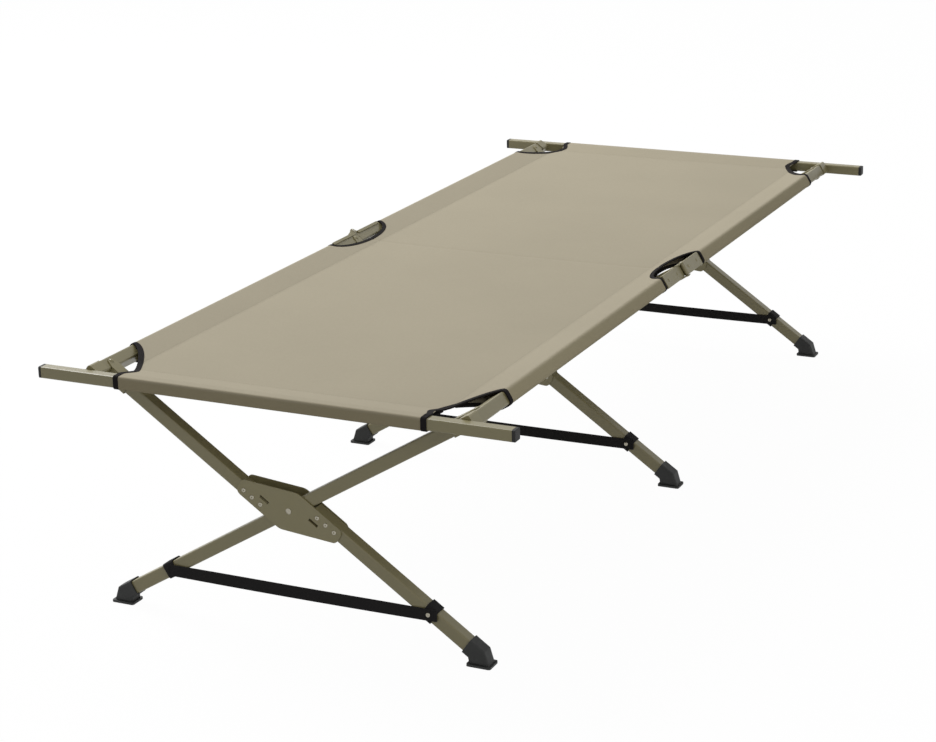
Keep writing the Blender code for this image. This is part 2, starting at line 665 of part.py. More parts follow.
def make_end_bar(name, sign):
    """Square end bar with its two peg holes, its caps and the fabric sleeve round its middle."""
    body = BODIES[f"{name}_bar"]
    frame = Matrix.Translation((0, sign * BAR_Y, RAIL_Z))
    half = BAR_LENGTH / 2 - CAP_RIM - FIT
    bar = make_piece(f"end_bar_{name}", tube_mesh(BAR, BAR_WALL, BAR_CORNER, "X", -half, half), "frame", frame, body)
    holes = bmesh.new()
    for x in (-RAIL_X, RAIL_X):
        add_rod(holes, (x, -sign * BAR / 2, 0), "Y", PEG + FIT, BAR / 2, 12)
    combine(bar, holes, "DIFFERENCE")
    for side in SIDES:
        make_cap(name, side, frame, body)
    sleeve = tube_mesh(END_SLEEVE_OUTER, CLOTH, BAR_CORNER + FIT + CLOTH, "X", -END_SLEEVE_HALF, END_SLEEVE_HALF)
    make_piece(f"end_sleeve_{name}", sleeve, "bed", frame, body)


def make_cap(name, side, frame, body):
    """Black end cap: a rim as wide as the bar, its outer edge softened, and a plug inside the tube."""
    sign = -1 if side == "left" else 1
    inside = BAR - 2 * BAR_WALL - 2 * FIT
    face = BAR_LENGTH / 2
    bm = bmesh.new()
    add_prism(bm, rounded_rect(BAR, BAR, BAR_CORNER), "X", sign * (face - CAP_RIM), sign * face)
    edge = [e for e in bm.edges if all(abs(v.co.x) > face - CAP_RIM / 2 for v in e.verts)]
    bmesh.ops.bevel(bm, geom=edge, offset=CAP_SOFT_EDGE, segments=1, affect="EDGES")
    cap = make_piece(f"cap_{name}_{side}", bm, "plastic", frame, body)
    plug = bmesh.new()
    ends = (sign * (face - CAP_RIM - CAP_PLUG), sign * (face - CAP_RIM / 2))
    add_prism(plug, rounded_rect(inside, inside, BAR_CORNER - BAR_WALL), "X", *ends)
    combine(cap, plug, "UNION")


# Fabric

def sleeve_top(side):
    """Height of a side sleeve's upper corner above the rail's middle."""
    angle = STRAIGHT_ANGLE if side == "right" else JOGGED_ANGLE
    return (SLEEVE_OUTER / 2 - SLEEVE_CORNER) * (math.cos(angle) + math.sin(angle)) + SLEEVE_CORNER


def bed_edge(side, underside):
    """Half width of the bed where its underside comes down to one fit above the sleeve's sloping face."""
    angle = STRAIGHT_ANGLE if side == "right" else JOGGED_ANGLE
    rise = underside - FIT - RAIL_Z - SLEEVE_OUTER / 2 * math.cos(angle)
    return RAIL_X - SLEEVE_OUTER / 2 * math.sin(angle) + rise / math.tan(angle)


def make_bed(half, sign):
    """Bed panel of one half: flat at the tubes' middle, rising over its hems to the sleeves, cut out round at the
    corner and at the rail joint.
    """
    top = RAIL_Z + max(sleeve_top(side) for side in SIDES)
    end = BAR_Y - END_SLEEVE_OUTER / 2 - FIT
    quarter = [step * math.pi / 2 / 8 for step in range(9)]
    outline = []
    for side, mirror in (("left", -1), ("right", 1)):
        edge = bed_edge(side, top - SLAB)
        mid_cut = [(edge - MID_CUT_X * math.cos(a), BED_SPLIT / 2 + SLEEVE_MID * math.sin(a)) for a in quarter]
        corner = [(edge - CORNER_CUT_X * math.sin(a), end - (end - SLEEVE_END) * math.cos(a)) for a in quarter]
        points = [(mirror * x, sign * y) for x, y in mid_cut + corner]
        outline += points if side == "left" else points[::-1]
    bm = bmesh.new()
    add_prism(bm, outline, "Z", top - SLAB, top)
    hem_x = RAIL_X - HEM
    hem_y = BAR_Y - END_HEM
    for co, no in (((hem_x, 0, 0), (1, 0, 0)), ((-hem_x, 0, 0), (1, 0, 0)), ((0, sign * hem_y, 0), (0, 1, 0))):
        geometry = bm.verts[:] + bm.edges[:] + bm.faces[:]
        bmesh.ops.bisect_plane(bm, geom=geometry, dist=1e-6, plane_co=co, plane_no=no)
    drop = top - (RAIL_Z + BED_RISE)
    bar_rise = RAIL_Z + END_SLEEVE_OUTER / 2 - (RAIL_Z + BED_RISE)
    for vert in bm.verts:
        edge = bed_edge("left" if vert.co.x < 0 else "right", top - SLAB)
        side_share = max(0.0, abs(vert.co.x) - hem_x) / (edge - hem_x)
        end_share = max(0.0, abs(vert.co.y) - hem_y) / (end - hem_y)
        vert.co.z += drop * (side_share - 1) + bar_rise * end_share
    make_piece(f"bed_panel_{half}", bm, "bed", Matrix(), BODIES[f"left_{half}"])


def make_sleeve(side, half, sign):
    """Hem of the bed, sewn into a sleeve round the rail."""
    ends = sorted((sign * SLEEVE_MID, sign * SLEEVE_END))
    bm = tube_mesh(SLEEVE_OUTER, CLOTH, SLEEVE_CORNER, "Y", *ends)
    make_piece(f"sleeve_{side}_{half}", bm, "bed", rail_frame(side), body_of(side, half))


def make_strap(station, y):
    """Webbing strap between the lower legs, with a sewn loop round each leg."""
    frames = {side: leg_frame(side, y) for side in SIDES}
    places = {side: leg_at_height(side, STRAP_HEIGHT) for side in SIDES}
    middles = {side: frames[side] @ Vector((places[side], 0, lower_offset(side))) for side in SIDES}
    front = y - HALF_TUBE - FIT - SINK
    low = (middles["right"].x, front - STRAP, STRAP_HEIGHT - STRAP_WIDTH / 2)
    high = (middles["left"].x, front, STRAP_HEIGHT + STRAP_WIDTH / 2)
    run = bmesh.new()
    add_box(run, low, high)
    strap = make_piece(f"strap_{station}", run, "webbing", Matrix(), body_of("left", station))
    for side in SIDES:
        start, end = places[side] - STRAP_RING / 2, places[side] + STRAP_RING / 2
        loop = tube_mesh(SLEEVE_INNER + 2 * STRAP_LOOP, STRAP_LOOP, TUBE_CORNER + FIT + STRAP_LOOP, "X", start, end,
                         0, lower_offset(side))
        bmesh.ops.transform(loop, matrix=frames[side], verts=loop.verts[:])
        combine(strap, loop, "UNION")
    hole = bmesh.new()
    add_rod(hole, (middles["left"].x, front, STRAP_HEIGHT), "Y", RIVET + FIT, TUBE / 2)
    combine(strap, hole, "DIFFERENCE")


# The cot

for side in SIDES:
    for half, sign in HALVES:
        make_rail(side, half, sign)
        make_rail_end(side, half, sign)
        make_sleeve(side, half, sign)
    make_near_leaf(side)
    make_far_leaf(side)

for station, y in STATIONS:
    make_legs(station, y)
    make_plate(station, y, True)
    make_plate(station, y, False)
    make_pivot_rivet(station, y)
    for side in SIDES:
        make_bracket(side, station, y)
        make_foot(side, station, y)
    make_strap(station, y)

for half, sign in HALVES:
    make_bed(half, sign)

make_end_bar("foot", -1)
make_end_bar("head", 1)
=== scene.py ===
# %% [markdown]
# # A folding camp bed in the studio
# The frame of tubes, plates and joints comes ready-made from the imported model. This script gives it real
# finishes, sews the fabric bed, the black bindings and the leg straps, and sets up the camera and the
# light. Everything is in metres, with the floor at Z = 0, the length of the bed along Y and its width
# along X.

import math

import bmesh
import bpy
import numpy as np
from mathutils import Matrix, Vector, noise


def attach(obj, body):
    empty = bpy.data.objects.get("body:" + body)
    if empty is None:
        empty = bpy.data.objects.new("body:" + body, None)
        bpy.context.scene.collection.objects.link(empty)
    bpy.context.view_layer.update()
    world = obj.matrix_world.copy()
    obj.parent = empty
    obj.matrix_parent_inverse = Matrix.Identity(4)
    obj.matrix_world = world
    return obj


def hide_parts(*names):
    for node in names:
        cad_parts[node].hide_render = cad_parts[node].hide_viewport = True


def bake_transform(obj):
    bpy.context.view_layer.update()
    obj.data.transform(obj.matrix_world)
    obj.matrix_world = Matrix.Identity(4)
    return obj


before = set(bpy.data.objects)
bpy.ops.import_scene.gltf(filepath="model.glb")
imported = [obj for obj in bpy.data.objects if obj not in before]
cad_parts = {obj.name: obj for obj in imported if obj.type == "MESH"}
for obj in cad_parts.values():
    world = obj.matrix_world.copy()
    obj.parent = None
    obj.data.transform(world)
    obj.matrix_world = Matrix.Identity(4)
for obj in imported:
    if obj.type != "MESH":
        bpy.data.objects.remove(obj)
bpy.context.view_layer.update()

# %% [markdown]
# ## Sizes shared by the soft pieces
# Cloth is cut and sewn to fit its frame, so its sizes follow from the frame's: where the rails and end
# bars lie, how far the square tubes are turned, and how thick the cloth is. The rails are turned with the
# legs, which gives the bed its sloping sides.

# %% Sizes
RAIL_X = 0.381                # from the bed's middle line to the middle of a rail
RAIL_Z = 0.472                # height of the middle of the rails and end bars
PIVOT_Z = 0.2438              # height of the main rivets
HALF_OFFSET = 0.0298          # from the main rivet's line to the halves of a jogged leg
BAR_Y = 1.064                 # from the bed's middle to the middle of an end bar
CLOTH = 0.0012                # thickness of the cloth
SLEEVE_HALF = 0.0154          # from the rail's middle to the sleeve's outer face
SLEEVE_CORNER = 0.0085        # the loose cloth turns more softly than the tube inside it
END_SLEEVE_HALF = 0.0125      # the same two for an end bar
END_SLEEVE_CORNER = 0.0040
HEM = 0.058                   # from a rail's middle to the seam of its sleeve
END_HEM = 0.060               # from an end bar's middle to the seam of its sleeve
BED_Z = RAIL_Z + 0.0039       # middle of the taut cloth
SEAM_X = RAIL_X - HEM
SEAM_Y = BAR_Y - END_HEM
reach = math.hypot(RAIL_X, RAIL_Z - PIVOT_Z)   # from the main rivet to the middle of a rail
straight_angle = math.atan2(RAIL_Z - PIVOT_Z, RAIL_X)
jogged_angle = straight_angle + math.asin(HALF_OFFSET / reach)
RAIL_TURN = {"right": straight_angle, "left": math.pi - jogged_angle}
LEG_Y = {"near": -0.995, "mid": -0.016, "far": 0.995}   # middle plane of each leg set
print("rails turned by", [round(math.degrees(a), 1) for a in RAIL_TURN.values()], "degrees")

# %% [markdown]
# ## The camera
# The camera stands where the photographer stood, in front of the bed's foot end and a little to the
# right. Its place and lens were worked out beforehand from the edges of the cot. Its turn could be given
# as three angles, but their order is easy to get wrong. So its axes are worked out one by one and put in
# a matrix, which also takes in the slight roll of a camera that wasn't quite level.

# %% Camera
FRAME_WIDTH = 936             # pixels
FOCAL_PIXELS = 2256.34
SHIFT_PIXELS = -0.99
SENSOR = 36                   # millimetres
STANDPOINT = (1.9405, -4.3325, 1.7356)
TURNS = (25.3159, 17.8011, -1.1683)   # degrees: round the bed, down towards it, and roll

camera_data = bpy.data.cameras.new("camera")
camera_data.sensor_width = SENSOR
camera_data.lens = FOCAL_PIXELS / FRAME_WIDTH * SENSOR
camera_data.shift_x = SHIFT_PIXELS / FRAME_WIDTH
camera = bpy.data.objects.new("camera", camera_data)
bpy.context.scene.collection.objects.link(camera)
bpy.context.scene.camera = camera
azimuth, elevation, roll = (math.radians(angle) for angle in TURNS)
forward = Vector((-math.sin(azimuth) * math.cos(elevation), math.cos(azimuth) * math.cos(elevation),
                  -math.sin(elevation)))
level_right = forward.cross(Vector((0, 0, 1))).normalized()
level_up = level_right.cross(forward)
right = math.cos(roll) * level_right + math.sin(roll) * level_up
up = math.cos(roll) * level_up - math.sin(roll) * level_right
axes = Matrix((right, up, -forward)).transposed()
camera.matrix_world = Matrix.Translation(STANDPOINT) @ axes.to_4x4()
print("lens", round(camera_data.lens, 1), "mm")

# %% [markdown]
# ## Shader maths as plain arithmetic
# A procedural material is a chain of small sums. Adding a Math node by hand for each one hides the idea,
# so one small class wraps a socket and lets Python's own signs add the nodes. `1 - mask` then works as it
# reads. A second class holds a material while it is being mixed, with one method that adds any other
# node.

# %% A wire that can be added and multiplied
COLOUR_A, COLOUR_B, COLOUR_OUT = 6, 7, 2   # where a Mix node keeps its colours. Its factor is socket 0


def plug(tree, socket, value):
    """Give a socket a value, or link a wire to it."""
    if isinstance(value, Wire):
        tree.links.new(value.socket, socket)
    else:
        socket.default_value = value


class Wire:
    """The output of a shader node, with arithmetic."""

    def __init__(self, tree, socket):
        self.tree = tree
        self.socket = socket

    def maths(self, operation, *values):
        """Add one Math node."""
        node = self.tree.nodes.new("ShaderNodeMath")
        node.operation = operation
        for socket, value in zip(node.inputs, values):
            plug(self.tree, socket, value)
        return Wire(self.tree, node.outputs[0])

    def __add__(self, other):
        return self.maths("ADD", self, other)

    def __sub__(self, other):
        return self.maths("SUBTRACT", self, other)

    def __rsub__(self, other):
        return self.maths("SUBTRACT", other, self)

    def __mul__(self, other):
        return self.maths("MULTIPLY", self, other)

    def __gt__(self, other):
        return self.maths("GREATER_THAN", self, other)

    def __lt__(self, other):
        return self.maths("LESS_THAN", self, other)

    def __mod__(self, other):
        return self.maths("FLOORED_MODULO", self, other)

    def __abs__(self):
        return self.maths("ABSOLUTE", self)

    def sine(self):
        return self.maths("SINE", self)

    __radd__ = __add__
    __rmul__ = __mul__


# %% A finish: a material while it is being mixed
class Finish:
    """A material being mixed: its Principled shader, and one method that adds any other node."""

    def __init__(self, name, colour, roughness, **fixed):
        self.material = bpy.data.materials.new(name)
        self.material.use_nodes = True
        self.tree = self.material.node_tree
        self.shader = self.tree.nodes["Principled BSDF"]
        self.put("Base Color", (*colour, 1))
        self.put("Roughness", roughness)
        for socket, value in fixed.items():
            self.put(socket.replace("_", " "), value)

    def put(self, socket, value):
        """Set a socket of the Principled shader."""
        plug(self.tree, self.shader.inputs[socket], value)

    def add(self, kind, settings=None, sockets=None, out=0):
        """Add a node: its type, its settings, its sockets, and the output that is wanted."""
        node = self.tree.nodes.new(f"ShaderNode{kind}")
        for setting, value in (settings or {}).items():
            setattr(node, setting, value)
        for socket, value in (sockets or {}).items():
            plug(self.tree, node.inputs[socket], value)
        return Wire(self.tree, node.outputs[out])

    def place(self):
        """Place in space, in metres."""
        return self.add("TexCoord", out="Object")

    def cut(self):
        """Place on the flat cut of the cloth, as across and along."""
        flat = self.add("UVMap", {"uv_map": "cut"})
        return [self.add("SeparateXYZ", sockets={0: flat}, out=axis) for axis in "XY"]

    def noise(self, scale, detail, stretch=(1, 1, 1)):
        """Soft random patches, about this many to a metre."""
        vector = self.add("Mapping", sockets={"Vector": self.place(), "Scale": stretch})
        return self.add("TexNoise", sockets={"Vector": vector, "Scale": scale, "Detail": detail})

    def tint(self, factor, low, high):
        """Colour that goes from low to high with the factor."""
        ends = {COLOUR_A: (*low, 1), COLOUR_B: (*high, 1)}
        mixed = self.add("Mix", {"data_type": "RGBA"}, {0: factor, **ends}, out=COLOUR_OUT)
        self.put("Base Color", mixed)
        return mixed

    def paint_shade(self, mixed, where, colour):
        """Painted shade: multiply a mixed colour by another, only where the mask says."""
        settings = {"data_type": "RGBA", "blend_type": "MULTIPLY"}
        ends = {COLOUR_A: mixed, COLOUR_B: (*colour, 1)}
        self.put("Base Color", self.add("Mix", settings, {0: where, **ends}, out=COLOUR_OUT))

    def bump(self, height, depth, strength):
        """Let the light see small humps of this depth."""
        sockets = {"Height": height, "Distance": depth, "Strength": strength}
        self.put("Normal", self.add("Bump", sockets=sockets))


def shade(colour, share):
    """The same colour, lighter or darker."""
    return tuple(channel * share for channel in colour)


print("shader arithmetic ready")

# %% [markdown]
# ## Metal, rubber and plastic
# The tubes have a satin powder coat. Baked powder is never quite smooth: it has a faint orange peel about
# a millimetre across, and handling leaves it a little uneven in gloss. Rivets are bare metal, the feet
# are matt rubber and the end caps are matt plastic. An image could show all this, but it blurs close up
# and needs a map for every piece. Noise read from the place in space fits any piece at any distance.

# %% Powder coat
COAT = (0.222, 0.194, 0.094)
PEEL = 900                    # bumps of the orange peel in a metre
PEEL_DEPTH = 0.00004


def powder_coat(name, colour, gloss):
    """Satin powder coat with a faint orange peel."""
    coat = Finish(name, colour, gloss, Specular_IOR_Level=0.6)
    coat.tint(coat.noise(6, detail=3), shade(colour, 0.93), shade(colour, 1.07))
    coat.put("Roughness", coat.noise(25, detail=2) * 0.12 + (gloss - 0.06))   # 0.06 either way
    coat.bump(coat.noise(PEEL, detail=1), PEEL_DEPTH, strength=0.6)
    return coat.material


tube_coat = powder_coat("tube_powder_coat", COAT, gloss=0.36)
bracket_coat = powder_coat("bracket_powder_coat", shade(COAT, 1.10), gloss=0.38)
print("powder coats mixed")

# %% Bare steel
steel = Finish("rivet_steel", (0.33, 0.31, 0.25), 0.28, Metallic=1.0)
steel.tint(steel.noise(700, detail=2), (0.26, 0.24, 0.19), (0.41, 0.39, 0.32))
steel.put("Roughness", steel.noise(1200, detail=2) * 0.25 + 0.18)
steel.bump(steel.noise(1600, detail=1), depth=0.00003, strength=0.5)
print("steel mixed")

# %% Rubber and moulded plastic
rubber = Finish("foot_rubber", (0.022, 0.023, 0.022), 0.62, Specular_IOR_Level=0.35)
rubber.tint(rubber.noise(30, detail=3), (0.016, 0.017, 0.016), (0.030, 0.031, 0.030))
rubber.put("Roughness", rubber.noise(60, detail=2) * 0.2 + 0.5)
rubber.bump(rubber.noise(1400, detail=2), depth=0.00008, strength=0.5)
plastic = Finish("cap_plastic", (0.018, 0.018, 0.017), 0.6, Specular_IOR_Level=0.25)
plastic.tint(plastic.noise(40, detail=2), (0.014, 0.014, 0.014), (0.026, 0.026, 0.025))
plastic.bump(plastic.noise(2200, detail=2), depth=0.00004, strength=0.6)
print("rubber and plastic mixed")

# %% [markdown]
# ## Cloth, binding and webbing
# Tent-weight polyester is a plain weave: each thread goes over one and under the next. The product of two
# sine waves gives that chequer of small humps. It is read from the flat cut of the cloth, so that it
# follows the fabric round the rails. The black binding and the leg straps are the same weave with
# thicker, darker threads. Painted shade makes the cloth a little yellower on the outer side of a rail's
# sleeve, and a little darker on the outer face of an end bar's sleeve, where less light falls.

# %% Stitches
STITCH_ROW = 0.003            # from the seam to the stitches on either side of it
STITCH_HALF = 0.0004          # half of a stitch's width
STITCH_LONG = 0.0028
STITCH_PITCH = 0.004


def stitches(across, along):
    """Two rows of stitches beside each seam of the bed: 1 on a stitch, 0 elsewhere."""
    rows = 0.0
    for off_seam, run in ((abs(across) - SEAM_X, along), (abs(along) - SEAM_Y, across)):
        near_row = abs(abs(off_seam) - STITCH_ROW) < STITCH_HALF
        rows = near_row * (run % STITCH_PITCH < STITCH_LONG) + rows
    return rows


# %% Weave and dye
FADE = 0.009                  # length over which the painted shade on the sleeves comes in


def woven(name, colour, thread, depth, contrast, roughness, sheen=0.05, sewn=False, painted_shade=None):
    """Plain weave on the cloth's own cut, with slightly uneven dye, and painted shade on a band where asked.
    """
    cloth = Finish(name, colour, roughness, Sheen_Weight=sheen, Sheen_Roughness=0.5,
                   Specular_IOR_Level=sheen * 2)
    across, along = cloth.cut()
    rate = math.pi / thread
    weave = (across * rate).sine() * (along * rate).sine()
    clouds = cloth.noise(3.5, detail=3)
    threads = cloth.noise(420, detail=2, stretch=(1, 0.25, 1))
    dye = clouds * 0.6 + threads * 0.4
    shading = dye * 0.85 + weave * contrast + 0.075      # a half on average
    height = weave * 0.5 + 0.5
    if sewn:
        rows = stitches(across, along)
        shading = shading - rows * 1.2                   # stitches are dark and stand up
        height = height + rows * 2
    mixed = cloth.tint(shading, shade(colour, 0.88), shade(colour, 1.12))
    # painted shade: a band of the cut, round a rail or an end bar, is multiplied by a darker or yellower
    # colour
    if painted_shade:
        axis, span, shade_colour = painted_shade
        distance = abs((across, along)[axis])
        past = []
        for limit in span:
            sockets = {"Value": distance, "From Min": limit, "From Max": limit + FADE}
            past.append(cloth.add("MapRange", sockets=sockets))
        cloth.paint_shade(mixed, past[0] - past[1], shade_colour)
    cloth.bump(height, depth, strength=0.7)
    return cloth


# %% Cloth, tape and webbing
KHAKI = (0.405, 0.362, 0.268)
POLYESTER = {"thread": 0.0011, "depth": 0.00012, "contrast": 0.10, "roughness": 0.86}
ACROSS, ALONG = 0, 1
PAINTED_SHADE_RAIL = (1.0, 0.985, 0.86)                      # painted shade: the shaded outer side of a rail's sleeve a little yellower
PAINTED_SHADE_RAIL_SPAN = (RAIL_X + 0.003, RAIL_X + 0.048)   # where it starts and stops on the cut
PAINTED_SHADE_BAR = (0.76, 0.735, 0.64)                      # painted shade: the outer face of an end bar's sleeve darker, and where it lies on the cut
PAINTED_SHADE_BAR_SPAN = (0.007, 0.042)
# painted shade on the sleeves: the bed's cloth yellower on its rails' outer sides, the end cloth darker on
# its bars' outer faces
bed_cloth = woven("bed_cloth", KHAKI, **POLYESTER, sewn=True, painted_shade=(ACROSS, PAINTED_SHADE_RAIL_SPAN, PAINTED_SHADE_RAIL))
end_cloth = woven("end_cloth", KHAKI, **POLYESTER, painted_shade=(ALONG, PAINTED_SHADE_BAR_SPAN, PAINTED_SHADE_BAR))
binding_tape = woven("binding_tape", (0.0195, 0.01725, 0.01725), thread=0.0014, depth=0.00025, contrast=0.35,
                     roughness=0.9, sheen=0.02)
webbing = woven("strap_webbing", (0.019, 0.018, 0.018), thread=0.0017, depth=0.00035, contrast=0.35,
                roughness=0.85)
print("cloth, tape and webbing mixed")

# %% Finishes on the ready-made pieces
FINISH_OF = (("foot_", rubber.material), ("cap_", plastic.material),
             ("pivot_rivet", steel.material), ("hinge_pin", steel.material),
             ("plate_", bracket_coat), ("leg_bracket", bracket_coat),
             ("hinge_leaf", bracket_coat), ("rail_end", bracket_coat),
             ("bed_panel", bed_cloth.material), ("sleeve_", bed_cloth.material),
             ("end_sleeve", end_cloth.material), ("strap_", webbing.material))
for name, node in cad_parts.items():
    finish = next((material for start, material in FINISH_OF if name.startswith(start)), tube_coat)
    node.data.materials.clear()
    node.data.materials.append(finish)
print("finishes put on", len(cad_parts), "pieces")

# %% [markdown]
# ## Pulling cloth tight round a tube
# A sleeve pulled tight round a square tube is a belt round its corners: straight runs between the corners
# and a small arc at each. A cloth simulation would find nearly the same line with much more work, so a
# helper works it out. The bed's cross-section is one such belt, from the seam under the left edge, round
# the left rail, across to the right rail, round it and back to its seam. Both layers of a sleeve pull on
# the seam, so the bed hangs a little above the middle of the tube.

# %% Belt round corners
ARC_STEP = math.radians(18)


def belt(stops):
    """Line pulled tight over round stops (across, height, radius), with its outside on the left."""
    stops = [(Vector(stop[:2]), stop[2]) for stop in stops]
    outward = []
    for (here, radius), (there, next_radius) in zip(stops, stops[1:]):
        run = there - here
        lean = (radius - next_radius) / run.length
        run.normalize()
        outward.append(run * lean + Vector((-run.y, run.x)) * math.sqrt(1 - lean * lean))
    points = [stops[0][0] + outward[0] * stops[0][1]]
    for (centre, radius), before, after in zip(stops[1:-1], outward, outward[1:]):
        turn = math.atan2(before.x * after.y - before.y * after.x, before.dot(after))
        count = max(1, math.ceil(abs(turn) / ARC_STEP))
        for index in range(count + 1):
            angle = turn * index / count
            points.append(centre + Matrix.Rotation(angle, 2) @ before * radius)
    points.append(stops[-1][0] + outward[-1] * stops[-1][1])
    return np.array(points)


# %% Measuring along a belt
FEELER = 0.0006               # its direction is felt this far ahead and behind


def run_of(points):
    """Distance along a line of points, at each of them."""
    return np.concatenate(([0], np.cumsum(np.hypot(*np.diff(points, axis=0).T))))


class Fold:
    """A belt that can be measured along its length."""

    def __init__(self, points):
        self.points = points
        self.length = run_of(points)

    def measure(self, x, z):
        """Distance along the belt of its point nearest to this place."""
        return self.length[np.argmin(np.hypot(*(self.points - (x, z)).T))]

    def at(self, distance):
        """Point and outward normal at a distance along the belt."""
        behind, here, ahead = ([np.interp(distance + step, self.length, column) for column in self.points.T]
                               for step in (-FEELER, 0, FEELER))
        run = Vector((ahead[0] - behind[0], ahead[1] - behind[1])).normalized()
        return *here, Vector((-run.y, run.x))


# %% Cross-section of the bed
def corner_stops(side):
    """Corners of a rail's sleeve, bottom, outer and top, each with the radius of the cloth's middle."""
    centre = Vector((RAIL_X if side == "right" else -RAIL_X, RAIL_Z))
    turn = Matrix.Rotation(RAIL_TURN[side], 2)
    half = SLEEVE_HALF - SLEEVE_CORNER
    corners = [centre + turn @ Vector((half * a, half * b)) for a in (-1, 1) for b in (-1, 1)]
    outer = max(corners, key=lambda c: abs(c.x))
    low, high = min(corners, key=lambda c: c.y), max(corners, key=lambda c: c.y)
    return [(corner.x, corner.y, SLEEVE_CORNER - CLOTH / 2) for corner in (low, outer, high)]


UNDER_SEAM = BED_Z - CLOTH - 0.0003   # the layer below, with a hair's gap
left_low, left_outer, left_top = corner_stops("left")
right_low, right_outer, right_top = corner_stops("right")
across_bed = Fold(belt([(-SEAM_X, UNDER_SEAM, 0), left_low, left_outer, left_top, (-SEAM_X, BED_Z, 0),
                        (SEAM_X, BED_Z, 0), right_top, right_outer, right_low, (SEAM_X, UNDER_SEAM, 0)]))
across_bed.length -= (across_bed.measure(-SEAM_X, BED_Z) + across_bed.measure(SEAM_X, BED_Z)) / 2
BED_EDGE = across_bed.measure(right_top[0], right_top[1] + right_top[2])
UNDER_EDGE = across_bed.measure(right_low[0], right_low[1] - right_low[2])
print("cloth across the bed, seam to seam:", round(across_bed.length[-1] - across_bed.length[0], 3), "m")
print("its top side reaches", round(BED_EDGE, 3), "m from the middle")

# %% [markdown]
# ## The cut of the bed
# A tailor draws the cut-outs on flat cloth, and sewing turns them into openings: a curve at each corner,
# which leaves the rail squarely and runs to the end bar, and half an ellipse at each rail joint. Openings
# could also be punched into a finished sheet, but that leaves ragged faces. Here the rows of the cloth run
# from the lower edge of the cut to the upper one, so a plain grid takes the outline, and its columns lie
# where the cloth bends.

# %% Outline of the cut
CORNER_X = 0.079              # how far the corner is cut back across
SLEEVE_END = 0.905            # where the rail comes out of its sleeve
NOTCH_Y = 1.022               # deepest point of the corner's curve
CORNER_POWER = 1.55           # 1 would be a straight cut, 2 a parabola
NOTCH_RUN = 0.032             # length over which the cloth widens again to the end bar
END_HALF = 0.316              # half width of the cloth on the end bar
MID_X = 0.040                 # how far the cut-out at a rail joint reaches across
SLEEVE_MID = 0.113            # half its length along the rail


def inset(u):
    """Distance from the rail, in the upper layer or in the layer that is folded under."""
    return max(0.0, BED_EDGE - abs(u), abs(u) - UNDER_EDGE)


def upper_limit(u):
    """Where the cloth ends towards the end bar, at this distance across the cut."""
    share = inset(u) / CORNER_X
    if share > 1.0001:        # clearly past the deepest point, whatever the last decimal says
        return BAR_Y
    return SLEEVE_END + (NOTCH_Y - SLEEVE_END) * share ** CORNER_POWER


def lower_limit(u):
    """Where the cloth ends towards the rail joint."""
    share = inset(u) / MID_X
    return SLEEVE_MID * math.sqrt(1 - share * share) if share < 1 else 0.0


def flare(y):
    """Widening of the cloth between the notch and the end bar."""
    share = min(1.0, max(0.0, (abs(y) - NOTCH_Y) / NOTCH_RUN))
    return 1 + (END_HALF / (BED_EDGE - CORNER_X) - 1) * share * share * (3 - 2 * share)


def side_limit(y):
    """Half width of the cloth at this distance from the bed's middle, near an end bar."""
    share = min(1.0, max(0.0, (y - SLEEVE_END) / (NOTCH_Y - SLEEVE_END)))
    return (BED_EDGE - CORNER_X * share ** (1 / CORNER_POWER)) * flare(y)


print("a corner's cut-out is", round(BAR_Y - SLEEVE_END, 3), "m long, a rail joint's", 2 * SLEEVE_MID, "m")

# %% Rows and columns of the grid
SEAM_STEPS = (-0.004, -0.0015, 0, 0.0015, 0.004)   # rows and columns close together at a seam
CREASE_HALF = 0.007           # from the crease across the bed's middle to the first row
SQUEEZE = 0.985               # rows beside the notch are squeezed together from here on
LEVEL_FROM = 0.55             # share of a corner's depth from which its rows turn level
EVEN_COLUMNS = 57             # from rail to rail
MID_COLUMNS = 13              # across the cut-out at a rail joint
CORNER_COLUMNS = 15           # across the cut-out at a corner
PAST_CORNER = 0.0002          # one more column just past its deepest point
LEAST = 0.00015               # columns that lie closer together are one


def crossing(u, row):
    """Where a row of the grid, from 0 to 1, crosses this column. Beside the notch the rows stay level as
    long as they can, so that the cloth bends with its neighbours where it starts to climb to the end bar."""
    low, high = lower_limit(u), upper_limit(u)
    even, level = low + (high - low) * row, BAR_Y * row
    if level > SQUEEZE:
        level = SQUEEZE + (level - SQUEEZE) * (high - SQUEEZE) / (BAR_Y - SQUEEZE)
    beside = min(1.0, max(0.0, inset(u) / CORNER_X - LEVEL_FROM) / (1 - LEVEL_FROM)) ** 2
    return even + (level - even) * beside


def columns():
    """Distances across the cloth where a column of the grid lies."""
    found = list(across_bed.length) + list(np.linspace(-BED_EDGE, BED_EDGE, EVEN_COLUMNS))
    off_seam = [step for step in SEAM_STEPS if step]     # the seam's own column is there already
    found += [sign * (SEAM_X + step) for sign in (-1, 1) for step in off_seam]
    steps = [MID_X * math.sin(quarter) for quarter in np.linspace(0, math.pi / 2, MID_COLUMNS)]
    steps += list(np.linspace(0, CORNER_X, CORNER_COLUMNS)) + [CORNER_X + PAST_CORNER]
    for step in steps:
        found += [BED_EDGE - step, step - BED_EDGE]
        if UNDER_EDGE + step < across_bed.length[-1]:
            found += [UNDER_EDGE + step, -UNDER_EDGE - step]
    found = [u for u in found if across_bed.length[0] <= u <= across_bed.length[-1]]
    kept = []
    for value in sorted(found):
        if not kept or value - kept[-1] > LEAST:
            kept.append(value)
    return kept


